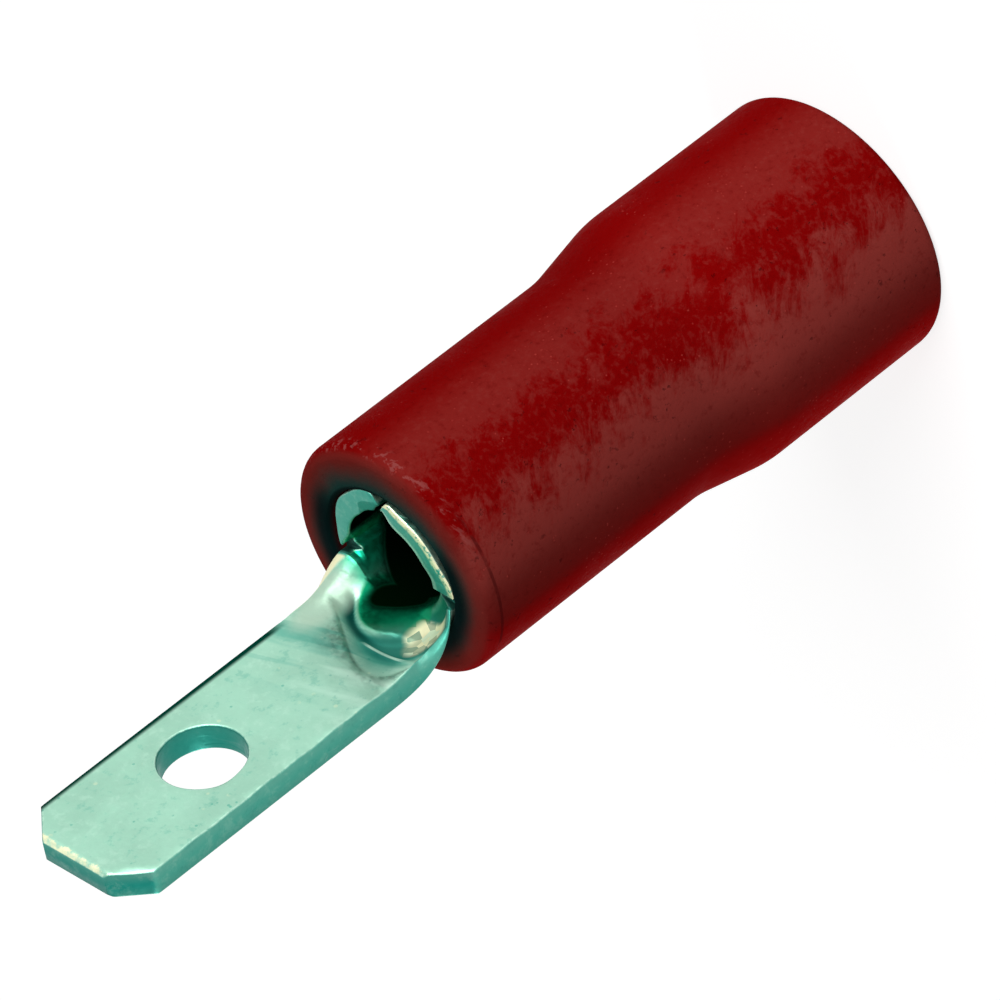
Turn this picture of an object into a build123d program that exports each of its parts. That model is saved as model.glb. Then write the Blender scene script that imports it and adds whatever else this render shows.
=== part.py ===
"""Insulated male spade terminal: a stamped and rolled metal terminal in a moulded sleeve.

It stands on the sleeve's rear end. The origin is on the barrel's axis at that end, +Z runs up the
axis to the tab's tip, and the tab's scooped face looks to -Y. All sizes are in millimetres.
"""

from build123d import *
import math
import os

os.makedirs("parts", exist_ok=True)

# Flat tab
sheet_thickness = 0.54
tab_width = 2.8
tab_reach = 7.8                # from the sleeve's front end to the tip
tip_chamfer_length = 0.58
tip_chamfer_width = 0.65
tip_bevel = 0.09               # coined lead-in on the tip's two long edges
latch_hole_diameter = 1.57
latch_hole_setback = 3.05      # from the tip to the middle of the hole

# Neck, where the flat sheet curls up into the barrel
neck_length = 1.6
neck_flare = 0.18              # how much wider each side of the sheet is at the mouth
neck_stations = 6
relief_width = 0.18            # notch between the neck's edge and the round wing of the barrel
pressed_relief_width = 0.28    # and on the pressed wing's side
relief_depth = 0.2

# Scoop coined into the neck: a ramp that runs down to a round ridge in front of the mouth
scoop_reach = 1.95             # from the mouth's middle to where the ramp starts
scoop_depth = 0.26             # at the ridge, below the tab's face
scoop_radius = 1.3             # of the ramp, across the tab
scoop_turn = 36                # degrees that the ramp is turned to the pressed wing's side
ridge_radius = 0.8             # of the ridge, seen square to the tab

# Rolled wire barrel
barrel_bore_diameter = 2.0
barrel_wall = 0.44
barrel_length = 6.4
seam_gap = 0.05
seam_groove_depth = 0.16       # V groove along the outside of the seam
seam_groove_width = 0.22
mouth_press_length = 1.3       # stretch over which one wing is pressed flatter
mouth_press_depth = 0.07       # how far that wing is pressed in at the mouth
mouth_seam_wall = 0.26         # thickness to which its seam edge is thinned there
mouth_seam_lean = 0.2          # how far its outer corner leans away from the seam
wire_lead_in = 0.15            # chamfer inside the barrel's rear end

# Insulating sleeve
barrel_fit_clearance = 0.02    # radial, between the barrel and the sleeve
sleeve_wall = 0.865            # round the barrel
step_height = 0.3              # from the front section out to the bell
step_length = 1.5
step_lead = 0.8                # how far the outer step starts ahead of the inner cone
step_blend_radius = 2.5
shoulder_gap = 0.1             # behind the barrel, before the inner cone
cone_length = 0.9
bell_length = 4.1              # behind the step
bell_wall = 0.65
front_rim_radius = 0.28
mouth_rim_radius = 0.12
rear_rim_radius = 0.22
entry_rim_radius = 0.15

# Radii, worked out from the barrel outwards
bore_radius = barrel_bore_diameter / 2
barrel_radius = bore_radius + barrel_wall
mid_radius = bore_radius + barrel_wall / 2
sleeve_bore_radius = barrel_radius + barrel_fit_clearance
sleeve_front_radius = sleeve_bore_radius + sleeve_wall
bell_radius = sleeve_front_radius + step_height
entry_radius = bell_radius - bell_wall
tab_half_width = tab_width / 2
tab_face_y = barrel_radius - sheet_thickness   # the tab's back lies flush with the barrel
curl_angle = math.degrees((tab_half_width + neck_flare) / mid_radius)   # each side, at the mouth

# Heights, from the rear end up to the tip
cone_rear_z = bell_length + step_length - step_lead - cone_length
cone_front_z = cone_rear_z + cone_length
barrel_rear_z = cone_front_z + shoulder_gap
mouth_z = barrel_rear_z + barrel_length        # the barrel's mouth and the sleeve's front end
neck_z = mouth_z + neck_length
tip_z = mouth_z + tab_reach


def neck_section(u):
    """Band of sheet across the neck: flat at the tab (u = 0), curled to the barrel at u = 1."""
    thickness = sheet_thickness + (barrel_wall - sheet_thickness) * u
    half_width = tab_half_width + neck_flare * u**2
    floor = barrel_radius - thickness / 2
    with BuildSketch(Plane.XY.offset(neck_z - u * neck_length)) as section:
        with BuildLine():
            if u == 0:
                Line((-half_width, floor), (half_width, floor))
            else:
                radius = mid_radius / u**2
                half_angle = math.degrees(half_width / radius)
                CenterArc((0, floor - radius), radius, 90 - half_angle, 2 * half_angle)
        trace(line_width=thickness)
    return section.sketch


def wing_section(z, press, seam_wall, seam_lean):
    """Band of sheet of the pressed wing, from the barrel's side at -X round to the seam at -Y."""
    halfway_round = Vector(-math.cos(math.pi / 4), -math.sin(math.pi / 4))
    outer_middle = (barrel_radius - press) * halfway_round
    inner_middle = (bore_radius - press) * halfway_round
    outer_end = (-seam_lean, -math.sqrt(barrel_radius**2 - seam_lean**2))
    inner_end = (0, seam_wall - barrel_radius)
    with BuildSketch(Plane.XY.offset(z)) as section:
        with BuildLine():
            ThreePointArc((-barrel_radius, 0), outer_middle, outer_end)
            Line(outer_end, inner_end)
            ThreePointArc(inner_end, inner_middle, (-bore_radius, 0))
            Line((-bore_radius, 0), (-barrel_radius, 0))
        make_face()
    return section.sketch


with BuildPart() as scoop:
    # Leaning round cutter, which enters the tab's face at the ramp's start
    ramp_length = scoop_reach - ridge_radius
    ramp_angle = math.atan(scoop_depth / ramp_length)
    down_the_ramp = Vector(0, math.sin(ramp_angle), -math.cos(ramp_angle))
    off_the_ramp = Vector(0, -math.cos(ramp_angle), -math.sin(ramp_angle))
    ramp_start = Vector(0, tab_face_y, mouth_z + scoop_reach)
    with BuildSketch(Plane(ramp_start + scoop_radius * off_the_ramp, (1, 0, 0), down_the_ramp)):
        Circle(scoop_radius)
    extrude(amount=ramp_length / math.cos(ramp_angle) + scoop_depth)

    # The round ridge in front of the mouth stays
    with BuildSketch(Plane.XZ.offset(-barrel_radius)):
        with Locations((0, mouth_z)):
            Circle(ridge_radius)
    extrude(amount=2 * barrel_radius, mode=Mode.SUBTRACT)


with BuildPart() as terminal:
    # Flat tab with its cut corners and the latch hole
    with BuildSketch(Plane.XZ.offset(-barrel_radius)):
        with BuildLine():
            Polyline(
                (tab_half_width, neck_z),
                (tab_half_width, tip_z - tip_chamfer_length),
                (tab_half_width - tip_chamfer_width, tip_z),
                (0, tip_z),
            )
            mirror(about=Plane.YZ)
            Line((-tab_half_width, neck_z), (tab_half_width, neck_z))
        make_face()
        with Locations((0, tip_z - latch_hole_setback)):
            Circle(latch_hole_diameter / 2, mode=Mode.SUBTRACT)
    extrude(amount=sheet_thickness)
    tip_edges = terminal.faces().sort_by(Axis.Z)[-1].edges().filter_by(Axis.X)
    chamfer(tip_edges, tip_bevel)

    # Neck: the sheet's sides curl up, and the scoop is coined into its floor, turned to one side
    for station in range(neck_stations + 1):
        add(neck_section(station / neck_stations))
    loft()
    add(scoop.part.rotate(Axis((0, 0, mouth_z), (0, 1, 0)), -scoop_turn), mode=Mode.SUBTRACT)

    # Barrel behind the mouth: a round tube, eased inside its rear end for the wire
    with BuildSketch(Plane.XY.offset(barrel_rear_z)):
        Circle(barrel_radius)
        Circle(bore_radius, mode=Mode.SUBTRACT)
    extrude(amount=barrel_length - mouth_press_length)
    rear_rims = terminal.edges().filter_by(GeomType.CIRCLE).group_by(Axis.Z)[0]
    chamfer(rear_rims.sort_by(SortBy.RADIUS)[0], wire_lead_in)

    # Front stretch of the barrel: its floor and one wing stay round
    with BuildSketch(Plane.XY.offset(mouth_z - mouth_press_length)):
        with BuildLine():
            CenterArc((0, 0), mid_radius, -90, 270)
        trace(line_width=barrel_wall)
    extrude(amount=mouth_press_length)

    # The other wing, pressed flatter towards the mouth
    add(wing_section(mouth_z - mouth_press_length, 0, barrel_wall, 0))
    add(wing_section(mouth_z, mouth_press_depth, mouth_seam_wall, mouth_seam_lean))
    loft(ruled=True)

    # Butted seam opposite the tab, with a V groove outside
    with BuildSketch(Plane.XY.offset(barrel_rear_z)):
        with Locations((0, -(bore_radius + barrel_radius) / 2)):
            Rectangle(seam_gap, 2 * barrel_wall)
        with BuildLine():
            Polyline(
                (0, seam_groove_depth - barrel_radius),
                (seam_groove_width / 2, -barrel_radius),
                (0, -barrel_radius - barrel_wall),
                (-seam_groove_width / 2, -barrel_radius),
                close=True,
            )
        make_face()
    extrude(amount=barrel_length, mode=Mode.SUBTRACT)

    # Relief notches where the wings part from the neck's edges
    with BuildSketch(Plane.XY.offset(mouth_z - relief_depth)):
        for side, width in ((-1, relief_width), (1, pressed_relief_width)):
            notch_angle = curl_angle + math.degrees(width / 2 / mid_radius)
            with PolarLocations(mid_radius, 1, start_angle=90 + side * notch_angle):
                Rectangle(2 * barrel_wall, width)
    extrude(amount=relief_depth, mode=Mode.SUBTRACT)

terminal.part.label = "terminal"
export_step(terminal.part, "parts/terminal.step")


with BuildPart() as insulation_sleeve:
    # Wall of the sleeve, drawn on one side of the barrel's axis
    with BuildSketch(Plane.XZ) as wall:
        with BuildLine():
            Polyline(
                (sleeve_bore_radius, mouth_z),
                (sleeve_front_radius, mouth_z),
                (sleeve_front_radius, bell_length + step_length),
                (bell_radius, bell_length),
                (bell_radius, 0),
                (entry_radius, 0),
                (entry_radius, cone_rear_z),
                (sleeve_bore_radius, cone_front_z),
                close=True,
            )
        make_face()
        for radius, z, rounding in (
            (sleeve_bore_radius, mouth_z, mouth_rim_radius),
            (sleeve_front_radius, mouth_z, front_rim_radius),
            (sleeve_front_radius, bell_length + step_length, step_blend_radius),
            (bell_radius, bell_length, step_blend_radius),
            (bell_radius, 0, rear_rim_radius),
            (entry_radius, 0, entry_rim_radius),
        ):
            corner = wall.vertices().sort_by_distance((radius, z))[0]
            fillet(corner, rounding)
    revolve(axis=Axis.Z)

insulation_sleeve.part.label = "insulation_sleeve"
export_step(insulation_sleeve.part, "parts/insulation_sleeve.step")
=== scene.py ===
"""Looks of an insulated male spade terminal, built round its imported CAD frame.

It is laid out as an add-on and run as a script. Lengths are in metres and the axes are the
frame's: the sleeve stands on its rear end at z = 0, the wire barrel's axis is Z, and the tab's
scooped face looks to -Y. In the functions, s holds the sizes and colours of the piece.
"""

import math
from types import SimpleNamespace

import bpy
import numpy as np
from mathutils import Matrix, Vector


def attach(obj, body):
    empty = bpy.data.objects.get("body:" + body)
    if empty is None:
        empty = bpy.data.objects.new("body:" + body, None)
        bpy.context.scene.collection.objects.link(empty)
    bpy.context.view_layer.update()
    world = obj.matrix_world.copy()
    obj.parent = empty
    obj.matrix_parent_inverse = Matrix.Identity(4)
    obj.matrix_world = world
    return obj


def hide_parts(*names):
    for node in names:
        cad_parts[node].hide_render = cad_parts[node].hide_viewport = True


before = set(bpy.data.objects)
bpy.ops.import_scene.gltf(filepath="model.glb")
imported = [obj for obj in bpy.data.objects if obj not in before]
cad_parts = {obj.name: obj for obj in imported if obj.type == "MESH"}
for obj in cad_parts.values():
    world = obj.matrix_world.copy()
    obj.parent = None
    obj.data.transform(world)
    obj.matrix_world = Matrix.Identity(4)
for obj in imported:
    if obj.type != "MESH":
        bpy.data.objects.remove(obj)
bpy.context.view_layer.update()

bl_info = {
    "name": "Insulated spade terminal",
    "version": (1, 0, 0),
    "blender": (4, 5, 0),
    "location": "View3D > Sidebar > Spade terminal",
    "description": "Makes the terminal's metal, its sleeve and a plain stage",
    "category": "Mesh",
}

MM = 0.001
# 1 - cos of 0, 22.5, 45, 67.5 and 90 degrees: the steps of a rounded edge
ROUND_STEPS = (0.0, 0.076, 0.293, 0.617, 1.0)
# Half the sides, along and across the tab, of the square that rings of quads fill round the latch hole,
# and the share of the way in to the hole that each ring takes
SQUARE_ALONG = 1.25 * MM
SQUARE_ACROSS = 1.2 * MM
RING_STEP = 0.2
# The scoop's blends: the ridge's slope about its radius, the ridge's end on the pressed wing's side,
# and the ramp's start, each as the places where it begins and is full
RIDGE_SLOPE = (-0.09 * MM, 0.03 * MM)
RIDGE_END = (0.35 * MM, 0.8 * MM)
RAMP_START = (-0.25 * MM, 0.2 * MM)
# Half the crease's width, and the scoop's depth from which it stands at its full height
CREASE_HALF_WIDTH = 0.06 * MM
CREASE_DEPTH = 0.1 * MM
# Sheet that is left under the scoop, between its faces, and between the wings and the sleeve
LEAST_FLOOR = 0.1 * MM
LEAST_SHEET = 0.04 * MM
LEAST_CLEARANCE = 0.004 * MM
# How much the wings' faces move for the pinch, the press and the point, against what the sizes say
INNER_PINCH = 1.5
OUTER_PRESS = 1.6
INNER_PRESS = 1.3
OUTER_POINT = 0.3
# Lengths smaller than this count as none
NEARLY = 1e-7
# Directions on the sleeve: across its two bands of painted sheen, along the fibres between them, along the
# rim's scuffs
ACROSS_BANDS = (-0.721, 0.693, 0.0)
ALONG_FIBRES = (0.37, -0.757, -0.539)
ALONG_SCUFFS = (-0.721, 0.693, -0.25)
# Colours that multiply the one below them: painted shade in the scoop, and painted light on the sleeve's
# bell, which makes it lighter than the front section
SCOOP_SHADE_TINT = (0.2, 1.0, 0.95)
BELL_PAINTED_LIGHT = (1.16, 1.16, 1.16)
# Patches on the neck, each as its middle, from the middle of the mouth, and its reach, in millimetres: a
# patch of painted shade, the painted highlight on the fold, and the painted highlight on the wall beside
# the mouth
PLAIN_PATCH = ((-0.55, 1.0, 0.5), (0.7, 0.8, 0.7))
FOLD_PATCH = ((1.05, 0.7, 0.8), (0.55, 0.6, 1.0))
WALL_HIGHLIGHT_PATCH = ((-0.95, 0.8, 0.3), (0.46, 0.8, 0.62))
# Radius of the circle that carries the sleeve's outline round, and of the inner cone's corners
PATH_RADIUS = 2.0 * MM
CONE_ROUNDING = 0.02 * MM
# Points that the sleeve has round each rounded corner, more between two points, and round its axis
CORNER_POINTS = 8
POINTS_BETWEEN = 3
POINTS_ROUND = 160
# Lamps, each as its name, its place and size in millimetres, and its power in watts
LAMPS = (("key", (-25, -235, 105), 220, 0.6), ("rim", (-60, 230, 60), 100, 0.3))
LAMP_TARGET = Vector((0.0, 0.0, 8 * MM))
SENSOR_WIDTH = 36.0
NEAREST_SEEN = 0.01
FURTHEST_SEEN = 20.0


def length(name, millimetres, text):
    """A property that holds a length, with its default given in millimetres."""
    return bpy.props.FloatProperty(
        name=name, description=text, default=millimetres * MM, min=0.0, precision=5, unit="LENGTH"
    )


def turn(name, degrees, text):
    """A property that holds an angle, with its default given in degrees."""
    return bpy.props.FloatProperty(
        name=name, description=text, default=math.radians(degrees), subtype="ANGLE"
    )


def colour(name, rgb, text):
    """A property that holds a colour, with its default given as scene-linear values."""
    return bpy.props.FloatVectorProperty(
        name=name, description=text, default=rgb, min=0.0, max=1.0, size=3, subtype="COLOR"
    )


def level(name, value, text):
    """A property that holds a share from 0 to 1."""
    return bpy.props.FloatProperty(
        name=name, description=text, default=value, min=0.0, max=1.0, subtype="FACTOR"
    )


class TerminalSizes(bpy.types.PropertyGroup):
    """Sizes and colours of the stamped and rolled metal."""

    tab_width: length("Tab width", 2.8, "Width of the flat tab")
    tab_reach: length("Tab reach", 7.8, "From the sleeve's front end to the tab's tip")
    tab_thickness: length("Tab thickness", 0.54, "Thickness of the sheet at the tab")
    tip_cut_length: length("Tip cut length", 0.58, "Length of the cut at each corner of the tip")
    tip_cut_width: length("Tip cut width", 0.65, "Width of the cut at each corner of the tip")
    tip_bevel: length("Tip bevel", 0.09, "Coined lead-in along the tip")
    hole_diameter: length("Hole diameter", 1.57, "Diameter of the latch hole")
    hole_setback: length("Hole setback", 3.05, "From the tip to the middle of the latch hole")
    neck_length: length("Neck length", 1.6, "Over which the flat sheet curls up to the barrel")
    neck_flare: length("Neck flare", 0.18, "How much wider each side of the sheet is at the mouth")
    neck_rounding: length("Neck rounding", 0.3, "Rounding inside the neck's edge at the mouth")
    notch_width: length("Notch width", 0.18, "Between the neck's edge and the round wing")
    pressed_notch_width: length("Pressed notch width", 0.28, "The same on the pressed wing's side")
    notch_depth: length("Notch depth", 0.2, "How far the notches run into the barrel")
    scoop_reach: length("Scoop reach", 1.95, "From the mouth's middle to the scoop's start")
    scoop_depth: length("Scoop depth", 0.26, "Below the tab's face, at the ridge")
    scoop_radius: length("Scoop radius", 1.3, "Of the ramp, on the pressed wing's side")
    scoop_far_radius: length("Scoop far radius", 1.65, "Of the ramp, on the round wing's side")
    scoop_turn: turn("Scoop turn", 36.0, "How far the ramp is turned to the pressed wing")
    ridge_radius: length("Ridge radius", 0.8, "Of the ridge in front of the mouth")
    crease_reach: length("Crease reach", 0.97, "From the mouth to the crease across the scoop")
    crease_height: length("Crease height", 0.035, "Of the crease across the scoop")
    bore_diameter: length("Bore diameter", 2.0, "Inside the wire barrel")
    barrel_wall: length("Barrel wall", 0.44, "Thickness of the sheet at the barrel")
    barrel_length: length("Barrel length", 6.4, "Length of the wire barrel")
    seam_gap: length("Seam gap", 0.05, "Between the two wings")
    seam_groove_depth: length("Seam groove depth", 0.16, "Of the groove outside the seam")
    seam_groove_width: length("Seam groove width", 0.22, "Of the groove outside the seam")
    press_length: length("Press length", 1.3, "Over which one wing is pressed flatter")
    press_depth: length("Press depth", 0.07, "How far that wing is pressed in at the mouth")
    wing_pinch: length("Wing pinch", 0.14, "How far the round wing is pinched in beside its notch")
    wing_spread: length("Wing spread", 0.09, "How far the wings stand out beside the seam")
    wing_point: length("Wing point", 0.2, "How far each face slopes off at the seam's mouth")
    wire_lead_in: length("Wire lead-in", 0.15, "Chamfer inside the barrel's rear end")
    edge_radius: length("Edge radius", 0.045, "Rounding of the sheet's cut edges")
    edge_wear: length("Edge wear", 0.018, "How far the tab's face is rubbed down along one edge")
    grid_step: length("Grid step", 0.075, "Largest side of the faces of the sheet")
    tin: colour("Tin", (0.38, 0.69, 0.53), "Colour of the plated face")
    # Pale tin also paints highlights along the rounded edges, on the crease and at the pressed wing's end
    pale_tin: colour("Pale tin", (0.55, 0.84, 0.68), "Colour of its paler brushed bands")
    # Cream also paints highlights: a blocky patch on the wall beside the mouth, the cut edges beside the
    # round wing and the pressed wing's end
    cream: colour("Cream", (0.95, 0.93, 0.6), "Colour of the coined bevel and the burnished spots")
    cut_metal: colour("Cut metal", (0.065, 0.40, 0.305), "Colour of the cut edges")
    # This colour paints shade on the tip's end, the cut corners and the latch hole's wall, and the darker
    # mottles of the cut edges
    deep_cut: colour("Shaded cut metal", (0.003, 0.25, 0.2), "Colour of the tip's end and cut corners")
    shade: colour("Shade", (0.004, 0.115, 0.09), "Colour at the foot of the ridge")
    # The next two colours paint shade in the barrel's mouth: dark green below the mouth and behind the
    # ridge, green on the wall just inside
    tarnish: colour("Tarnish", (0.002, 0.24, 0.11), "Colour in the barrel's mouth")
    wall_green: colour("Wall green", (0.01, 0.55, 0.3), "Colour of the barrel's wall just inside")
    # The fold's colour is a painted highlight on the curled fold beside the round wing
    fold: colour("Fold", (0.5, 0.68, 0.53), "Colour of the rubbed fold beside the round wing")
    far_edge: colour("Far edge", (0.0, 0.045, 0.028), "Colour of the dark line on the round wing's side")
    # Painted shade, black, deep in the barrel, behind the ridge and under the wings
    soot: colour("Soot", (0.0003, 0.004, 0.0008), "Colour deep inside the barrel")


class SleeveSizes(bpy.types.PropertyGroup):
    """Sizes and colours of the moulded sleeve."""

    bore_radius: length("Bore radius", 1.46, "Round the wire barrel")
    front_radius: length("Front radius", 2.325, "Of the section round the barrel")
    bell_radius: length("Bell radius", 2.625, "Of the rear bell")
    entry_radius: length("Entry radius", 1.975, "Inside the bell")
    front_height: length("Front height", 11.3, "Height of the front end above the rear end")
    step_top: length("Step top", 5.6, "Height where the step starts")
    bell_height: length("Bell height", 4.1, "Height of the bell below the step")
    cone_top: length("Cone top", 4.8, "Height of the front end of the inner cone")
    cone_base: length("Cone base", 3.9, "Height of the rear end of the inner cone")
    front_rim: length("Front rim", 0.28, "Rounding of the outer rim at the front")
    mouth_rim: length("Mouth rim", 0.12, "Rounding of the inner rim at the front")
    step_blend: length("Step blend", 2.5, "Rounding of the step's two corners")
    rear_rim: length("Rear rim", 0.22, "Rounding of the outer rim at the rear")
    entry_rim: length("Entry rim", 0.15, "Rounding of the inner rim at the rear")
    plastic: colour("Plastic", (0.215, 0.0008, 0.001), "Colour of the sleeve")
    # This colour paints the sheen of the two paler bands, the shade on the front face, darker, and the pale
    # specks and grain
    dusty: colour("Plastic dust and sheen", (0.27, 0.034, 0.028), "Colour of its scuffed bands")
    # Painted shade on the front face round the barrel, tinged green as a painted reflection of the metal
    slate: colour("Slate", (0.012, 0.046, 0.041), "Colour of the sooty front face round the barrel")
    # Painted shadow, black, on the sleeve in and beside the gap round the barrel
    gap: colour("Gap", (0.001, 0.006, 0.007), "Colour of the gap round the wire barrel")
    pit: colour("Pit", (0.05, 0.001, 0.002), "Colour of its tiny pits")
    scuff: colour("Scuff", (0.45, 0.16, 0.15), "Colour of the light scuffs along its front rim")


class StageSettings(bpy.types.PropertyGroup):
    """Where the camera stands, the floor, and the level of the light."""

    camera_azimuth: turn("Camera azimuth", -43.84, "Round the Z axis, from the tab's face")
    camera_height: turn("Camera height", 29.004, "Angle above the floor")
    camera_roll: turn("Camera roll", -127.741, "Turn about the line of sight")
    camera_distance: length("Camera distance", 138.9, "From the point that it looks at")
    camera_target: bpy.props.FloatVectorProperty(
        name="Camera target", description="Point that the camera looks at", subtype="TRANSLATION",
        default=(-0.913 * MM, -0.544 * MM, 9.417 * MM), precision=5,
    )
    lens: bpy.props.FloatProperty(
        name="Lens", description="Focal length on a 36 mm sensor", default=293.2,
        subtype="DISTANCE_CAMERA",
    )
    floor_side: length("Floor side", 3000.0, "Side of the square floor")
    floor_grey: level("Floor grey", 0.5, "How much of the lamps' light the floor returns")
    floor_glow: level("Floor glow", 0.78, "What the camera and mirrors see on top of that")
    sky_light: level("Sky light", 0.16, "Light of the white surroundings on the part")


# Mesh of the sheet


def run(start, stop, step, first=0.0, last=0.0):
    """Stations from start to stop, about a step apart and closer in a rounded stretch at an end."""
    head = [start + first * k for k in (ROUND_STEPS if first else (0.0,))]
    tail = [stop - last * k for k in reversed(ROUND_STEPS if last else (0.0,))]
    gap = tail[0] - head[-1]
    count = max(1, round(gap / step))
    return head + [head[-1] + gap * i / count for i in range(1, count)] + tail


class Blank:
    """The terminal's flat blank: its points (across, up) and its quads, before it is rolled."""

    def __init__(self, s):
        self.s = s
        self.rear = s.mouth - s.barrel_length
        self.tip = s.mouth + s.tab_reach
        self.hole = (0.0, self.tip - s.hole_setback)
        self.points = []
        self.quads = []
        self.index = {}
        self.lay_out()
        self.points = np.array(self.points)
        self.find_rim()

    def half_width(self, z):
        """Half the sheet's width at the neck and the tab."""
        s = self.s
        u = min(1.0, max(0.0, (s.mouth + s.neck_length - z) / s.neck_length))
        half = s.tab_width / 2 + s.neck_flare * u**2
        cut = max(0.0, z - (self.tip - s.tip_cut_length)) / s.tip_cut_length
        return half - cut * s.tip_cut_width

    def columns(self):
        """Each column as (kind, share of the half width, offset), from one seam edge to the other."""
        s = self.s
        r = s.edge_radius
        inner = s.tab_width / 2 + s.neck_flare - r
        seam = math.pi * s.mid_radius - s.seam_gap / 2
        count = round(inner / s.grid_step)
        right = [("neck", i / count, 0.0) for i in range(1, count)]
        right += [("neck", 1.0, r * (1 - k)) for k in reversed(ROUND_STEPS)]
        left = [(kind, -share, -offset) for kind, share, offset in reversed(right)]
        middle = left + [("neck", 0.0, 0.0)] + right

        def wing(notch):
            edge = inner + r + notch
            gap = run(inner + r, edge, s.grid_step / 2)[1:-1]
            stations = run(edge, seam, s.grid_step, r, 2.5 * r)
            return [("notch", 0.0, w) for w in gap] + [("wing", 0.0, w) for w in stations]

        pressed = [(kind, share, -w) for kind, share, w in reversed(wing(s.pressed_notch_width))]
        return pressed + middle + wing(s.notch_width)

    def rows(self):
        """Height of each row, from the barrel's rear end to the tab's tip."""
        s = self.s
        r = s.edge_radius
        press_z = s.mouth - s.press_length
        notch_z = s.mouth - s.notch_depth
        neck_z = s.mouth + s.neck_length
        cut_z = self.tip - s.tip_cut_length
        square = (self.hole[1] - SQUARE_ALONG, self.hole[1] + SQUARE_ALONG)
        coarse = 1.5 * s.grid_step
        fine = 0.6 * s.grid_step
        parts = [
            run(self.rear, press_z, 2 * coarse, first=2 * r),
            run(press_z, notch_z, coarse, last=r),
            run(notch_z, s.mouth, fine, last=r),
            run(s.mouth, neck_z, fine),
            run(neck_z, square[0], coarse),
            run(*square, s.grid_step),
            run(square[1], cut_z, coarse),
            run(cut_z, self.tip, s.grid_step, last=2 * r),
        ]
        return parts[0] + [z for part in parts[1:] for z in part[1:]]

    def lay_out(self):
        """Lays the quads in rows and columns, without the notches, and then those round the hole."""
        s = self.s
        rows = self.rows()
        columns = self.columns()
        kinds = [column[0] for column in columns]
        square_rows = [i for i, z in enumerate(rows) if abs(z - self.hole[1]) < SQUARE_ALONG + NEARLY]
        square_columns = [
            j for j, (kind, share, _) in enumerate(columns)
            if kind == "neck" and abs(share) * s.tab_width / 2 < SQUARE_ACROSS
        ]
        south, north = square_rows[0], square_rows[-1]
        west, east = square_columns[0], square_columns[-1]

        def point(i, j):
            if (i, j) not in self.index:
                _, share, offset = columns[j]
                self.index[i, j] = len(self.points)
                self.points.append((share * (self.half_width(rows[i]) - s.edge_radius) + offset, rows[i]))
            return self.index[i, j]

        def left_out(i, j):
            pair = {kinds[j], kinds[j + 1]}
            above = rows[i + 1] - s.mouth
            past_wing = pair == {"wing"} and above > NEARLY
            in_notch = pair not in ({"neck"}, {"wing"}) and above > NEARLY - s.notch_depth
            return past_wing or in_notch or (south <= i < north and west <= j < east)

        for i in range(len(rows) - 1):
            for j in range(len(columns) - 1):
                if not left_out(i, j):
                    corners = (i, j), (i, j + 1), (i + 1, j + 1), (i + 1, j)
                    self.quads.append(tuple(point(*corner) for corner in corners))
        square = [(south, j) for j in range(west, east)]
        square += [(i, east) for i in range(south, north)]
        square += [(north, j) for j in range(east, west, -1)]
        square += [(i, west) for i in range(north, south, -1)]
        self.ring_hole([point(i, j) for i, j in square])

    def ring_hole(self, outer):
        """Rings of quads from that loop of points in to the latch hole's rounded edge."""
        s = self.s
        middle_x, middle_z = self.hole
        away = [Vector((self.points[i][0] - middle_x, self.points[i][1] - middle_z)) for i in outer]
        sharp = s.hole_diameter / 2
        rounded = sharp + s.edge_radius
        rings = []
        for share in run(0, 1, RING_STEP)[1:-1]:
            rings.append([a.length + (rounded - a.length) * share for a in away])
        for k in reversed(ROUND_STEPS):
            rings.append([sharp + s.edge_radius * k] * len(away))
        for reaches in rings:
            ring = [len(self.points) + i for i in range(len(away))]
            for a, reach in zip(away, reaches):
                self.points.append(tuple(Vector(self.hole) + a.normalized() * reach))
            for i, j in zip(range(len(ring)), [*range(1, len(ring)), 0]):
                self.quads.append((outer[i], outer[j], ring[j], ring[i]))
            outer = ring

    def find_rim(self):
        """The edges that only one quad has, and each point's distance from the nearest of them."""
        used = {}
        for quad in self.quads:
            for a, b in zip(quad, quad[1:] + quad[:1]):
                key = (min(a, b), max(a, b))
                used[key] = None if key in used else (a, b)
        self.rim = [edge for edge in used.values() if edge]
        a = self.points[[edge[0] for edge in self.rim]]
        b = self.points[[edge[1] for edge in self.rim]]
        along = b - a
        square = (along**2).sum(1)
        self.from_rim = np.empty(len(self.points))
        for i, p in enumerate(self.points):
            share = np.clip(((p - a) * along).sum(1) / square, 0.0, 1.0)
            self.from_rim[i] = np.sqrt((((a + along * share[:, None]) - p) ** 2).sum(1).min())


def smooth(x, low, high):
    """0 below low, 1 above high, and an even curve between them."""
    t = np.clip((x - low) / (high - low), 0.0, 1.0)
    return t * t * (3 - 2 * t)


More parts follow.
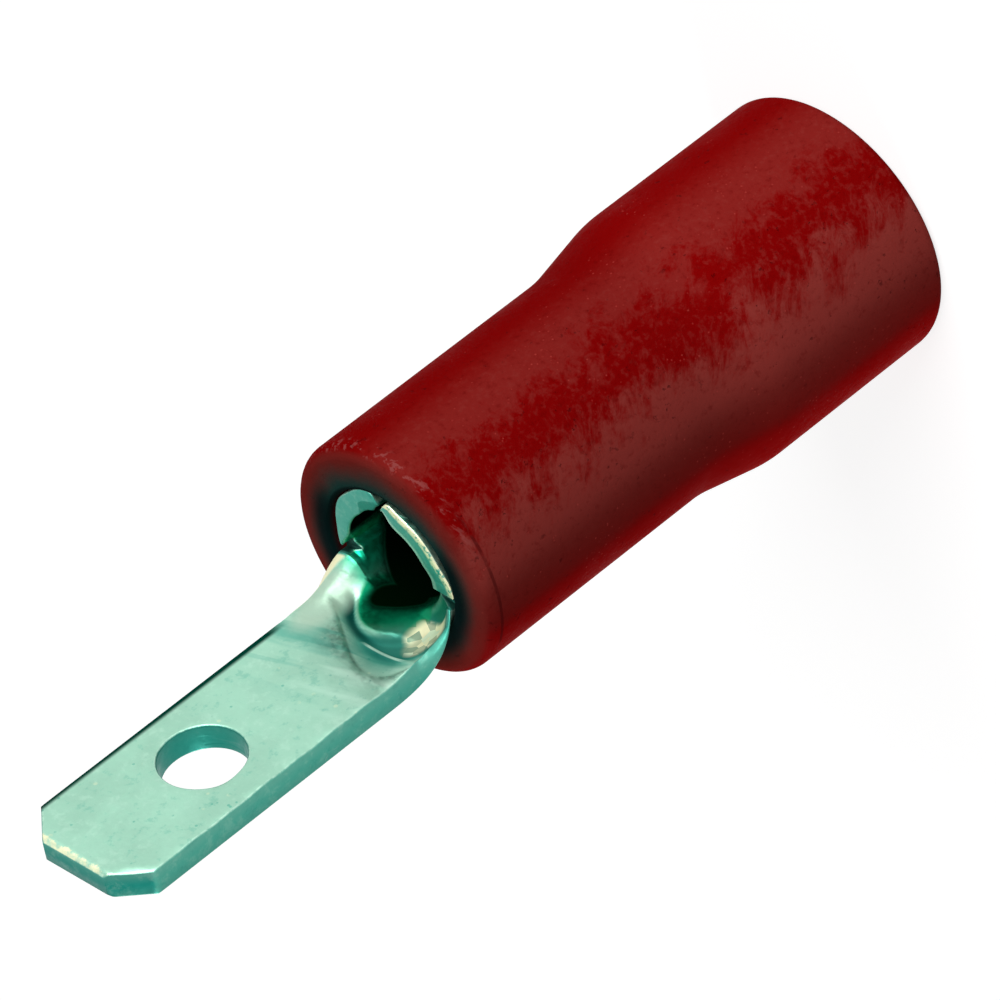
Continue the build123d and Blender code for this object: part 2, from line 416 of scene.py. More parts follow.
class Sheet:
    """Rolls the blank: where each point of it lies in space, on both faces of the sheet.

    w and z are a point's place on the blank, and u goes from 0 at the flat tab to 1 at the barrel.
    """

    def __init__(self, s, blank):
        self.s = s
        self.blank = blank
        w, z = blank.points.T
        u = np.clip((s.mouth + s.neck_length - z) / s.neck_length, 0.0, 1.0)
        self.u = u
        self.thickness = s.tab_thickness + (s.barrel_wall - s.tab_thickness) * u
        self.curve = np.maximum(u, 1e-4) ** 2 / s.mid_radius
        self.floor = s.barrel_radius - self.thickness / 2
        self.w, self.z = w, z
        self.angle = w * self.curve
        self.on_neck = np.abs(w) < s.tab_width / 2 + s.neck_flare + NEARLY

    def place(self, n):
        """Points at a height n above the sheet's middle, towards the outside of the barrel."""
        radius = 1 / self.curve + n
        x = radius * np.sin(self.angle)
        y = self.floor + n - radius * (1 - np.cos(self.angle))
        return np.stack((x, y, self.z), 1)

    def cutter_depth(self, x, y, up):
        """How far the leaning round cutter reaches below each point, and the point's place along it."""
        s = self.s
        turn_cos, turn_sin = math.cos(s.scoop_turn), math.sin(s.scoop_turn)
        ramp = math.atan2(s.scoop_depth, s.scoop_reach - s.ridge_radius)

        def turned(x, y, z):
            """Across the cutter, down into the sheet, and along the cutter."""
            along = z * turn_cos - x * turn_sin
            return x * turn_cos + z * turn_sin, y * math.cos(ramp) + along * math.sin(ramp), along

        across, down, along = turned(x, y - (s.barrel_radius - s.tab_thickness), up)
        radius = np.where(across > 0, s.scoop_far_radius, s.scoop_radius)
        down = down - s.scoop_reach * math.sin(ramp) + radius
        step_across, step_down, _ = turned(np.sin(self.angle), np.cos(self.angle), 0 * self.angle)
        square = step_across**2 + step_down**2
        half = across * step_across + down * step_down
        outside = across**2 + down**2 - radius**2
        root = np.sqrt(np.maximum(half**2 - square * outside, 0.0))
        return np.where(outside < 0, (root - half) / square, 0.0), along

    def scoop(self, inner):
        """How deep the scoop goes into the sheet below its inner face, given at that height."""
        s = self.s
        x, y, z = self.place(inner).T
        up = z - s.mouth
        depth, along = self.cutter_depth(x, y, up)
        ridge = smooth(np.hypot(x, up) - s.ridge_radius, *RIDGE_SLOPE)
        ridge = np.maximum(ridge, smooth(-x, *RIDGE_END))
        front = smooth(along, *RAMP_START) * smooth(up, -s.notch_depth, 0.0)
        crease = 1 - np.clip(np.abs(up - s.crease_reach) / CREASE_HALF_WIDTH, 0.0, 1.0)
        crease = crease * smooth(depth, 0.0, CREASE_DEPTH) * (x < 0)
        cut = depth * ridge * front * self.on_neck - s.crease_height * crease
        return np.clip(cut, -s.crease_height, self.thickness - LEAST_FLOOR)

    def wing_shape(self):
        """How far the wings' outer and inner faces stand off the round barrel near the mouth.

        Places round the barrel are in degrees from the tab's middle, so the seam is at 180.
        """
        s = self.s
        turned = np.degrees(np.abs(self.w) / s.mid_radius)
        neck = s.tab_width / 2 + s.neck_flare
        notch = np.where(self.w > 0, s.notch_width, s.pressed_notch_width)
        fade = np.clip((self.z - s.mouth + s.press_length) / s.press_length, 0.0, 1.0)
        fade = fade * smooth(np.abs(self.w), neck, neck + notch) * (self.u >= 1.0)
        point = s.wing_point * smooth(turned, 168, 180)
        spread = s.wing_spread * smooth(turned, 140, 168)
        round_outer = spread - s.wing_pinch * (1 - smooth(turned, 95, 135))
        round_inner = spread + INNER_PINCH * s.wing_pinch * (1 - smooth(turned, 80, 102))
        pressed = s.press_depth * (smooth(turned, 96, 116) - smooth(turned, 158, 176))
        pressed_outer = s.wing_spread * (1 - smooth(turned, 88, 104)) - OUTER_PRESS * pressed
        outer = fade * (np.where(self.w > 0, round_outer, pressed_outer) - OUTER_POINT * point)
        inner = fade * (np.where(self.w > 0, round_inner, -INNER_PRESS * pressed) + point)
        # The sleeve's bore, which opens over the rounding of its mouth, holds the wings in
        rise = np.clip(1 - (s.mouth - self.z) / s.sleeve_rim, 0.0, 1.0)
        room = s.sleeve_bore - s.barrel_radius + s.sleeve_rim * (1 - np.sqrt(1 - rise**2))
        return np.minimum(outer, room - LEAST_CLEARANCE), inner

    def rounding(self, radius):
        """How far a rounded edge of that radius lies below the face, at each point."""
        inward = radius - np.minimum(self.blank.from_rim, radius)
        return radius - np.sqrt(np.maximum(radius * radius - inward**2, 0.0))

    def edge_wear(self):
        """How far the face is rubbed down along the pressed wing's side, unevenly by two waves."""
        s = self.s
        sway = np.sin(self.z / (0.31 * MM) + self.w / (0.6 * MM)) + np.sin(self.z / (0.13 * MM) + 1.7)
        worn = s.edge_wear * (1 + 0.5 * sway) * smooth(self.blank.from_rim, 0.16 * MM, 0.0)
        worn = worn * smooth(self.z, s.mouth + 0.5 * s.neck_length, s.mouth + s.neck_length)
        return worn * smooth(-self.w, 0.0, 0.3 * s.tab_width)

    def faces(self):
        """Points of the inner and the outer face, and their values for the finish."""
        s = self.s
        inset = self.rounding(s.edge_radius)
        past_notch = self.z > s.mouth - s.notch_depth
        over = self.rounding(s.neck_rounding) * smooth(self.u, 0.1, 0.9)
        over = over * past_notch * (self.w > 0) * self.on_neck
        tip = np.maximum(s.tip_bevel - (self.blank.tip - self.z), 0.0)
        seam = math.pi * s.mid_radius - s.seam_gap / 2 - np.abs(self.w)
        groove = s.seam_groove_depth * np.clip(1 - 2 * seam / s.seam_groove_width, 0.0, 1.0)
        groove = np.where(self.z <= s.mouth + NEARLY, groove, 0.0)
        lead_in = np.maximum(s.wire_lead_in - (self.z - self.blank.rear), 0.0)
        wing_outer, wing_inner = self.wing_shape()
        outer = self.thickness / 2 - np.maximum.reduce((inset, tip, groove)) + wing_outer
        inner = np.maximum.reduce((inset, tip, lead_in, over)) - self.thickness / 2
        inner = inner + self.edge_wear() + wing_inner
        scoop = self.scoop(inner)
        inner = np.minimum(inner + scoop, outer - LEAST_SHEET)
        edge = 1 - np.minimum(self.blank.from_rim, s.edge_radius) / s.edge_radius
        return self.place(inner), self.place(outer), edge, scoop / s.scoop_depth


def new_object(name, data):
    """A new object in the scene, with that mesh, lamp or lens."""
    made = bpy.data.objects.new(name, data)
    bpy.context.scene.collection.objects.link(made)
    return made


def mesh_object(name, vertices, faces):
    """A new object with that mesh, smooth, with its faces outwards."""
    mesh = bpy.data.meshes.new(name)
    mesh.from_pydata([tuple(v) for v in vertices], [], [tuple(int(i) for i in f) for f in faces])
    mesh.validate()
    mesh.polygons.foreach_set("use_smooth", [True] * len(mesh.polygons))
    mesh.update()
    return new_object(name, mesh)


# Materials


def times(rgb, factor):
    """The colour, darker or lighter by that factor."""
    return tuple(factor * c for c in rgb)


class Wiring:
    """A node tree, with a short call for a new node with its settings and inputs."""

    def __init__(self, tree):
        self.tree = tree

    def join(self, value, socket):
        """Links another node's socket to this one, or sets its plain value."""
        if isinstance(value, bpy.types.NodeSocket):
            self.tree.links.new(value, socket)
        else:
            socket.default_value = value

    def node(self, kind, inputs=None, **settings):
        """A new node, with values or other nodes' sockets in its inputs."""
        made = self.tree.nodes.new(kind)
        for key, value in settings.items():
            setattr(made, key, value)
        for key, value in (inputs or {}).items():
            self.join(value, made.inputs[key])
        return made


class Shading(Wiring):
    """A material's node tree, with short calls for what the finishes share."""

    def __init__(self, name):
        self.material = bpy.data.materials.new(name)
        self.material.use_nodes = True
        super().__init__(self.material.node_tree)
        self.shader = self.tree.nodes["Principled BSDF"]
        self.place = self.node("ShaderNodeTexCoord").outputs["Object"]
        self.x, self.y, self.z = self.parts(self.place)

    def parts(self, vector):
        """The three numbers of a vector or a colour."""
        return self.node("ShaderNodeSeparateXYZ", {0: vector}).outputs

    def math(self, kind, *values):
        """The result of one sum, such as ADD or MINIMUM, of numbers or sockets."""
        return self.node("ShaderNodeMath", dict(enumerate(values)), operation=kind).outputs[0]

    def plus(self, value, more):
        return self.math("ADD", value, more)

    def less(self, value, taken):
        return self.math("SUBTRACT", value, taken)

    def rest(self, share):
        """What is left of 1 without that share."""
        return self.less(1.0, share)

    def both(self, *shares):
        """The product of the shares."""
        product = shares[0]
        for share in shares[1:]:
            product = self.math("MULTIPLY", product, share)
        return product

    def most(self, *shares):
        """The largest of the shares."""
        largest = shares[0]
        for share in shares[1:]:
            largest = self.math("MAXIMUM", largest, share)
        return largest

    def vector(self, kind, *values, out="Vector"):
        """The same for vectors, where some results are a plain number."""
        return self.node("ShaderNodeVectorMath", dict(enumerate(values)), operation=kind).outputs[out]

    def distance(self, middle, axes):
        """Distance from that point, measured only along the axes whose share is 1."""
        away = self.vector("MULTIPLY", self.vector("SUBTRACT", self.place, middle), axes)
        return self.vector("LENGTH", away, out="Value")

    def off(self, value, level):
        """How far the value is from that level, on either side."""
        return self.math("ABSOLUTE", self.less(value, level))

    def ramp(self, value, start, end, at_start=0.0, at_end=1.0):
        """value brought smoothly from start..end to at_start..at_end, and held there outside."""
        if start > end:
            start, end, at_start, at_end = end, start, at_end, at_start
        inputs = {"Value": value, "From Min": start, "From Max": end}
        inputs.update({"To Min": at_start, "To Max": at_end})
        return self.node("ShaderNodeMapRange", inputs, interpolation_type="SMOOTHSTEP").outputs["Result"]

    def rise(self, value, start, end, base=0.0):
        """0 to 1 between two lengths in millimetres, counted from the base."""
        return self.ramp(value, base + start * MM, base + end * MM)

    def band(self, value, start, full, fade, end):
        """0 at start, 1 from full to fade, and 0 again at end."""
        return self.both(self.ramp(value, start, full), self.ramp(value, end, fade))

    def noise(self, scale, detail=3.0, rough=0.5, along=(1, 0, 0), stretch=1.0, warp=0.0):
        """Noise with so many bumps to a metre, drawn out that many times along a direction."""
        grain = Vector((1, 0, 0)).rotation_difference(Vector(along))
        inputs = {"Vector": self.place, "Scale": (stretch, 1, 1), "Rotation": grain.to_euler()}
        turned = self.node("ShaderNodeMapping", inputs, vector_type="TEXTURE").outputs[0]
        inputs = {"Vector": turned, "Scale": scale, "Detail": detail}
        inputs.update({"Roughness": rough, "Distortion": warp})
        return self.node("ShaderNodeTexNoise", inputs).outputs["Fac"]

    def cells(self, scale):
        """Scattered cells, so many to a metre."""
        return self.node("ShaderNodeTexVoronoi", {"Vector": self.place, "Scale": scale}).outputs

    def spots(self, scale, size, edge=0.3):
        """1 inside scattered round spots, 0 elsewhere."""
        return self.ramp(self.cells(scale)["Distance"], size * (1 + edge), size * (1 - edge))

    def patch(self, middle, reach, soft=0.5):
        """1 in the middle of an ellipsoid, falling to 0 at its surface."""
        away = self.vector("DIVIDE", self.vector("SUBTRACT", self.place, middle), reach)
        return self.ramp(self.vector("LENGTH", away, out="Value"), 1.0, 1.0 - soft)

    def over(self, base, rgb, *shares, kind="MIX"):
        """The base colour, with the other over it by the product of the shares."""
        colours = [c if isinstance(c, bpy.types.NodeSocket) else (*c, 1.0) for c in (base, rgb)]
        inputs = {"Factor": self.both(*shares), "A": colours[0], "B": colours[1]}
        return self.node("ShaderNodeMix", inputs, data_type="RGBA", blend_type=kind).outputs["Result"]

    def coats(self, base, *coats):
        """The base colour with each coat over it in turn, given as a colour and its shares."""
        for rgb, *shares in coats:
            base = self.over(base, rgb, *shares)
        return base

    def attribute(self, name):
        """A value that the mesh holds at each point."""
        return self.node("ShaderNodeAttribute", attribute_name=name).outputs["Fac"]

    def bump(self, height, distance, strength, under=None):
        """A normal raised by height, on top of the one under it."""
        inputs = {"Height": height, "Distance": distance, "Strength": strength}
        if under:
            inputs["Normal"] = under
        return self.node("ShaderNodeBump", inputs).outputs[0]

    def finish(self, **values):
        """The material, once the shader's sockets have their values."""
        for name, value in values.items():
            self.join(value, self.shader.inputs[name.replace("_", " ")])
        return self.material


class TinnedFinish(Shading):
    """Tinned sheet: pale rolled faces with fine scratches and specks, and darker cut edges."""

    def __init__(self, s):
        super().__init__("tinned_sheet")
        self.s = s
        self.up = self.less(self.z, s.mouth)
        self.reach = self.distance((0.0, 0.0, s.mouth), (1.0, 0.0, 1.0))
        self.cloud = self.noise(700.0, 4.0, 0.6)
        self.mottled = self.noise(3800.0, 4.0, 0.7)
        self.grain = self.noise(9000.0, 4.0, 0.6)
        self.streak = self.noise(2600.0, 2.0, 0.5, (1, 0, 0.3), 30.0)
        self.scoop = self.attribute("scoop")
        self.side = self.attribute("inside")
        self.edge = self.attribute("cut")
        self.inside = self.ramp(self.side, 0.4, 0.6)
        self.cut = self.ramp(self.edge, 0.25, 0.9)
        self.mark_far_line()
        self.mark_scoop()
        self.mark_mouth()

    def neck_patch(self, patch, soft=0.5):
        """1 in the middle of that patch on the neck's scooped side, falling to 0 at its rim."""
        middle, reach = patch
        middle = Vector(middle) * MM + Vector((0, 0, self.s.mouth))
        return self.both(self.inside, self.patch(middle, Vector(reach) * MM, soft))

    def mark_far_line(self):
        """The thin dark line along the tab's edge on the round wing's side, wider at the neck."""
        s = self.s
        widened = self.plus(self.x, self.ramp(self.up, s.tab_reach, 0.0, -0.01 * MM, 0.04 * MM))
        side = s.tab_width / 2
        face = s.barrel_radius - s.tab_thickness
        self.far_line = self.both(
            self.rise(widened, -0.16, -0.06, side),
            self.rise(self.up, 1.4, 1.9),
            self.rise(self.y, 0.1, 0.04, face),
        )

    def mark_scoop(self):
        """The scoop's painted shade, the darker painted shade at the ridge's foot, and beside it the plain
        patch of painted shade and the painted highlights on the fold and on the wall.
        """
        ridge = self.s.ridge_radius
        clouded = self.plus(self.scoop, self.both(self.cloud, 0.3))
        self.shade = self.both(self.inside, self.ramp(clouded, 0.2, 0.8))
        self.foot = self.both(
            self.inside,
            self.rise(self.reach, 0.25, 0.05, ridge),
            self.rise(self.reach, -0.04, 0.03, ridge),
            self.rise(self.x, -0.4, 0.2),
            self.rise(self.up, 0.25, 0.45),
            0.85,
        )
        self.plain = self.both(self.neck_patch(PLAIN_PATCH, 0.6), 0.8)
        # Where the painted highlight on the fold goes
        self.rubbed = self.neck_patch(FOLD_PATCH)
        past_mouth = self.rise(self.up, -0.05, 0.05)
        # Where the painted highlight on the wall beside the mouth goes
        self.burnished = self.both(self.neck_patch(WALL_HIGHLIGHT_PATCH, 0.4), past_mouth)

    def mark_mouth(self):
        """Painted shade, black, in the barrel: behind the ridge, at the rear and under the wings."""
        ridge = self.s.ridge_radius
        self.lean = self.less(self.up, self.both(self.x, 0.8))
        bowl = self.both(self.ramp(self.reach, ridge, 0.45 * ridge), self.rise(self.lean, 0.3, -0.25))
        deep = self.less(self.up, self.both(self.y, 0.7))
        deep = self.less(deep, self.both(self.math("MINIMUM", self.x, 0.0), 0.5))
        rear = self.both(self.rise(deep, -0.65, -1.2), self.rise(self.up, 0.02, -0.1))
        roof = self.both(self.rise(self.y, 0.1, -0.45), self.rise(self.up, 0.0, -0.06))
        black = self.ramp(self.most(bowl, rear, roof), 0.0, 0.75)
        self.black = self.both(self.inside, black, self.rise(self.up, -3.5, -2.0))

    def plated_face(self):
        """Clouded and mottled tin, with specks, scratches and brushed bands near the neck."""
        s = self.s
        brushed = self.noise(1500.0, 3.0, 0.55, (1, 0, 0.25), 7.0)
        near_neck = self.rise(self.up, 3.4, 1.4)
        sparse = self.ramp(self.noise(1300.0), 0.5, 0.56)
        face = self.over(s.tin, times(s.tin, 0.88), self.ramp(self.cloud, 0.35, 0.7))
        return self.coats(
            face,
            (s.pale_tin, near_neck, self.ramp(brushed, 0.5, 0.62)),
            (s.cut_metal, near_neck, self.ramp(brushed, 0.45, 0.34), 0.45),
            (s.pale_tin, self.ramp(self.mottled, 0.52, 0.7), 0.3),
            (s.cut_metal, self.ramp(self.mottled, 0.44, 0.3), 0.3),
            (s.cut_metal, self.spots(4600.0, 0.12), sparse, 0.6),
            (s.cream, self.spots(3100.0, 0.12), sparse, 0.25),
            (s.cut_metal, self.ramp(self.streak, 0.66, 0.7), 0.5),
            (s.cut_metal, near_neck, self.ramp(self.streak, 0.56, 0.62), 0.45),
        )

    def scooped_face(self, face):
        """The scoop in painted shade, darkest at the ridge's foot, with a painted highlight along the pale
        crease across it.
        """
        s = self.s
        # Painted shade in the scoop: its colour multiplied greener and darker, then the shade colour over
        # it
        face = self.over(face, SCOOP_SHADE_TINT, self.shade, 0.9, kind="MULTIPLY")
        face = self.over(face, s.shade, self.shade, 0.92)
        # A painted highlight along the crease
        crease = self.both(
            self.inside,
            self.rise(self.off(self.up, s.crease_reach), 0.045, 0.02),
            self.rise(self.x, 0.0, -0.25),
            self.ramp(self.scoop, 0.3, 0.5),
        )
        face = self.over(face, s.pale_tin, crease)
        # Painted shade, darker, at the ridge's foot
        face = self.over(face, times(s.shade, 0.3), self.foot)
        # Painted shade: the plain patch dimmed towards dark cut metal
        face = self.over(face, times(s.cut_metal, 0.6), self.plain)
        # A painted highlight on the fold
        return self.over(face, s.fold, self.rubbed, 0.8)

    def mouth_face(self, face):
        """The barrel's mouth in painted shade, green and then black inside, and a blocky painted highlight
        on the wall beside it.
        """
        s = self.s
        ridge = s.ridge_radius
        bowl = self.rise(self.reach, -0.03, -0.12, ridge)
        just_inside = self.rise(self.up, 0.3, -0.1)
        tone = self.parts(self.cells(5500.0)["Color"])[0]
        return self.coats(
            face,
            # Painted shade: green on the wall just inside, dark green below the mouth and behind the ridge,
            # and black deep inside and under the wings
            (s.wall_green, self.inside, just_inside, self.rise(self.x, 0.3, 0.9)),
            (s.tarnish, self.inside, self.rise(self.up, 0.05, -0.3), self.rise(self.x, 0.8, 0.4)),
            (s.tarnish, self.inside, bowl, self.rise(self.lean, 1.2, 0.45)),
            (s.soot, self.black),
            # A painted highlight in cream and pale blocks on the wall beside the mouth
            (s.cream, self.burnished, self.ramp(tone, 0.15, 0.4, 0.3, 1.0)),
            (s.pale_tin, self.burnished, self.ramp(tone, 0.6, 0.9, 0.0, 0.5)),
        )

    def cut_edge(self):
        """Cut edges: teal, darkest in painted shade at the tip's end, the cut corners and the latch hole,
        and a painted highlight in cream beside the round wing.
        """
        s = self.s
        corners = s.tab_reach - s.tip_cut_length
        hole = self.distance((0.0, 0.0, s.mouth + s.tab_reach - s.hole_setback), (1.0, 0.0, 1.0))
        back = s.barrel_radius
        # Painted shade on the tip's end and its cut corners
        edge = self.over(s.cut_metal, s.deep_cut, self.rise(self.up, 0.0, 0.05, corners))
        return self.coats(
            edge,
            (s.pale_tin, self.ramp(self.mottled, 0.5, 0.68), 0.12),
            (s.deep_cut, self.ramp(self.mottled, 0.45, 0.32), 0.3),
            (s.pale_tin, self.rise(self.y, -0.22, -0.5, back), self.rise(self.up, 0.0, 1.0), 0.12),
            # A painted highlight in cream on the cut edges beside the round wing
            (s.cream, self.rise(self.x, 0.9, 1.1), self.rise(self.up, 0.01, 0.05),
             self.ramp(self.up, s.neck_length, 0.6 * s.neck_length)),
            (times(s.cut_metal, 0.6), self.rise(self.y, -0.3, 0.0, back),
             self.rise(self.up, 0.0, 0.3), 0.5),
            # Painted shade on the latch hole's wall
            (s.deep_cut, self.ramp(hole, 0.6 * s.hole_diameter, 0.53 * s.hole_diameter), 0.75),
        )

    def rubbed_lines(self, metal):
        """Painted highlights in pale lines where face and edge meet and along the pressed wing's end,
        painted shade in the notches, and the cream bevel at the tip.
        """
        s = self.s
        rim = self.both(self.ramp(self.edge, 0.05, 0.3), self.ramp(self.edge, 0.95, 0.6))
        wing_end = self.both(
            self.rise(self.x, 0.0, -0.05),
            self.rise(self.y, 0.4, 0.0),
            self.rise(self.up, -0.2, -0.06),
        )
        in_notch = self.band(self.up, -0.6 * MM, -0.4 * MM, -0.07 * MM, -0.02 * MM)
        uneven = self.plus(self.up, self.ramp(self.mottled, 0.3, 0.7, -0.05 * MM, 0.05 * MM))
        bevel = self.rise(uneven, -0.12, -0.06, s.tab_reach)
        return self.coats(
            metal,
            # Painted highlights: pale along the rounded edges, and at the pressed wing's end
            (s.pale_tin, rim, self.rest(self.far_line),
             self.ramp(self.cloud, 0.3, 0.6), self.ramp(self.grain, 0.35, 0.6), 0.6),
            (s.pale_tin, self.ramp(self.side, 0.75, 0.95), self.cut, wing_end, 0.7),
            # Painted shade in the notches
            (times(s.shade, 0.2), self.cut, in_notch, 0.85),
            # A painted highlight in cream along the pressed wing's end, then the coined bevel at the tip
            (s.cream, self.ramp(self.side, 0.3, 0.1), self.ramp(self.edge, 0.1, 0.4), wing_end,
             self.ramp(self.grain, 0.35, 0.5)),
            (s.cream, self.inside, bevel, self.ramp(self.cut, 0.9, 0.5),
             self.ramp(self.mottled, 0.35, 0.6), 0.85),
        )

    def colour(self):
        """The faces' colour, with the cut edges, the far line, and the edges' painted highlights and the
        notches' painted shade over it.
        """
        face = self.mouth_face(self.scooped_face(self.plated_face()))
        metal = self.over(face, self.cut_edge(), self.cut)
        return self.rubbed_lines(self.over(metal, self.s.far_edge, self.far_line))

    def make(self):
        """The whole material: dull in the scoop's painted shade, under the painted highlights on the fold
        and the wall, and where it is cut, and matt where it is painted dark.
        """
        ridge = self.s.ridge_radius
        shaded = self.math("MINIMUM", self.both(self.shade, 2.8), 1.0)
        beside_ridge = self.rise(self.reach, -0.05, 0.05, ridge)
        hollow = self.both(self.inside, self.ramp(self.scoop, 0.0, 0.12), beside_ridge)
        dull = self.most(self.burnished, shaded, self.plain, self.both(self.rubbed, 0.9), hollow,
                         self.both(self.cut, 0.6))
        past_ridge = self.both(self.ramp(self.shade, 0.1, 0.8), self.rise(self.up, 0.3, 0.6), 0.6)
        # Painted dark: the far edge's dark line and the painted shade at the ridge's foot, deep in the
        # barrel and past the ridge
        painted_dark = self.most(self.far_line, self.foot, self.ramp(self.black, 0.75, 1.0), past_ridge)
        plated = self.less(0.88, self.both(dull, 0.62))
        scratch = self.ramp(self.streak, 0.64, 0.7)
        bump = self.bump(self.grain, 0.008 * MM, 0.4)
        return self.finish(
            Base_Color=self.colour(),
            Metallic=self.both(plated, self.ramp(painted_dark, 0.0, 0.8, 1.0, 0.0)),
            Roughness=self.ramp(self.grain, 0.3, 0.7, 0.28, 0.45),
            Normal=self.bump(self.rest(scratch), 0.01 * MM, 0.5, bump),
            Specular_IOR_Level=self.ramp(painted_dark, 0.0, 0.6, 0.1, 0.0),
        )


class MouldedFinish(Shading):
    """Moulded plastic: red with two bands of painted sheen, feathery between them, a band of painted shade,
    a painted rim of light, and tiny pits.
    """

    def __init__(self, s):
        super().__init__("moulded_plastic")
        self.s = s
        self.down = self.less(s.front_height, self.z)
        self.out = self.vector("MULTIPLY", self.place, (1.0, 1.0, 0.0))
        outward = self.vector("NORMALIZE", self.out)
        self.across = self.vector("DOT_PRODUCT", outward, ACROSS_BANDS, out="Value")
        self.fibres = self.noise(3000.0, 5.0, 0.75, ALONG_FIBRES, 2.6, 0.6)
        self.mottle = self.noise(900.0, 5.0, 0.7)
        self.grain = self.noise(8000.0, 4.0, 0.6)
        pitted = self.ramp(self.noise(6500.0, 3.0, 0.6), 0.64, 0.7)
        self.pits = self.both(pitted, self.ramp(self.mottle, 0.42, 0.6))

    def scuffed_red(self):
        """Red plastic with its two paler bands of painted sheen, whose inner sides are ragged, then a band
        of painted shade and a painted rim of light on the far side.
        """
        s = self.s
        across = self.across
        ragged = self.plus(across, self.ramp(self.fibres, 0.25, 0.75, -0.22, 0.22))
        ragged = self.plus(ragged, self.ramp(self.mottle, 0.25, 0.75, -0.2, 0.2))
        # The two bands of painted sheen, left and right
        left = self.both(self.ramp(across, -0.88, -0.56), self.ramp(ragged, -0.18, -0.5), 0.42)
        right = self.both(self.ramp(ragged, -0.02, 0.42), self.ramp(across, 0.88, 0.5))
        sheen = self.most(left, right)
        lit = (1.3 * s.plastic[0], s.plastic[1], s.plastic[2])
        red = self.over(s.plastic, s.dusty, sheen)
        red = self.coats(
            red,
            # Painted sheen mottled in the bands and grainy across the middle, and darker grain
            (s.dusty, self.ramp(self.mottle, 0.5, 0.75), sheen, 0.4),
            (s.dusty, self.ramp(self.grain, 0.5, 0.7), self.band(across, -0.9, -0.6, 0.6, 0.85), 0.3),
            (times(s.plastic, 0.6), self.ramp(self.grain, 0.46, 0.3), 0.35),
            # A band of painted shade towards the far side
            (times(s.dusty, 0.35), self.band(across, 0.45, 0.72, 0.8, 0.92), 0.45),
            # A painted rim of light at the far edge
            (lit, self.ramp(across, 0.84, 0.95), 0.8),
        )
        # Painted light: the bell made lighter than the front section
        bell = self.ramp(self.z, s.step_top, s.bell_height)
        return self.over(red, BELL_PAINTED_LIGHT, bell, kind="MULTIPLY")

    def pitted(self, red):
        """Tiny dark pits and pale specks, light scuffs along the front rim, and a line behind it."""
        s = self.s
        specks = self.both(self.spots(9500.0, 0.17), self.ramp(self.mottle, 0.5, 0.42))
        scuff = self.noise(8500.0, 3.0, 0.6, ALONG_SCUFFS, 3.0)
        near_rim = self.both(
            self.band(self.down, 0.04 * MM, 0.1 * MM, 0.2 * MM, 0.45 * MM),
            self.rise(self.y, 0.0, -0.8),
            self.ramp(self.across, 0.5, -0.1),
        )
        line = self.rise(self.off(self.down, s.front_rim + 0.05 * MM), 0.045, 0.02)
        return self.coats(
            red,
            (s.pit, self.pits, 0.5),
            (times(s.dusty, 2.2), specks, self.ramp(self.grain, 0.6, 0.45), 0.35),
            (s.scuff, near_rim, self.ramp(scuff, 0.54, 0.64), 0.3),
            (s.pit, line, self.ramp(self.mottle, 0.4, 0.55), self.ramp(self.across, -0.1, 0.2), 0.55),
        )

    def front_face(self, red):
        """Front face: painted shade, dark grey-green round the barrel, red again at the outer rim, and
        black painted shadow in and beside the gap.
        """
        s = self.s
        bore = s.bore_radius
        radius = self.vector("LENGTH", self.out, out="Value")
        front = self.rise(self.down, 0.12, 0.01)
        uneven = self.plus(radius, self.ramp(self.mottle, 0.3, 0.7, -0.06 * MM, 0.06 * MM))
        near_bore = self.ramp(uneven, s.front_radius - 0.15 * MM, bore + 0.1 * MM)
        beside = self.ramp(self.math("ABSOLUTE", self.math("DIVIDE", self.x, radius)), 0.7, 0.97)
        beside = self.most(beside, self.rise(self.y, -0.2, 0.3))
        gap = self.rise(radius, 0.13, 0.06, bore)
        painted_gap_shadow = self.both(beside, self.rise(radius, 0.6, 0.2, bore))
        return self.coats(
            red,
            # Painted shade over the front face, darkest round the bore
            (times(s.dusty, 0.7), front, 0.7),
            (s.slate, front, near_bore),
            # Painted shadow, black, in and beside the gap
            (s.gap, self.most(gap, painted_gap_shadow), self.rise(self.down, 0.3, 0.05), 0.9),
        )

    def make(self):
        """The whole material, with its grain, fibres and pits in the surface too."""
        bump = self.bump(self.grain, 0.015 * MM, 0.5)
        bump = self.bump(self.fibres, 0.03 * MM, 0.25, bump)
        return self.finish(
            Base_Color=self.front_face(self.pitted(self.scuffed_red())),
            Roughness=self.ramp(self.mottle, 0.3, 0.7, 0.5, 0.65),
            Normal=self.bump(self.rest(self.pits), 0.02 * MM, 0.6, bump),
            Specular_IOR_Level=0.004,
        )


# Sleeve, turned round the axis by Geometry Nodes


class Growth(Wiring):
    """A Geometry Nodes tree with named inputs."""

    def __init__(self, name):
        super().__init__(bpy.data.node_groups.new(name, "GeometryNodeTree"))
        self.tree.interface.new_socket("Geometry", in_out="OUTPUT", socket_type="NodeSocketGeometry")
        self.inputs = self.tree.nodes.new("NodeGroupInput")
        self.result = self.tree.nodes.new("NodeGroupOutput")
        self.identifiers = {}

    def size(self, name, default):
        """A named input for a size."""
        socket = self.tree.interface.new_socket(name, in_out="INPUT", socket_type="NodeSocketFloat")
        socket.default_value = default
        self.identifiers[name] = socket.identifier
        return self.inputs.outputs[name]

    def pick(self, kind, values):
        """The value at the point's own index, out of that list."""
        made = self.node("GeometryNodeIndexSwitch", data_type=kind)
        while len(made.index_switch_items) < len(values):
            made.index_switch_items.new()
        self.join(self.node("GeometryNodeInputIndex").outputs[0], made.inputs["Index"])
        for i, value in enumerate(values):
            self.join(value, made.inputs[str(i)])
        return made.outputs[0]


def named_size(s, name):
    """The size whose property has the input's name, in small letters and joined up."""
    return getattr(s, name.lower().replace(" ", "_"))


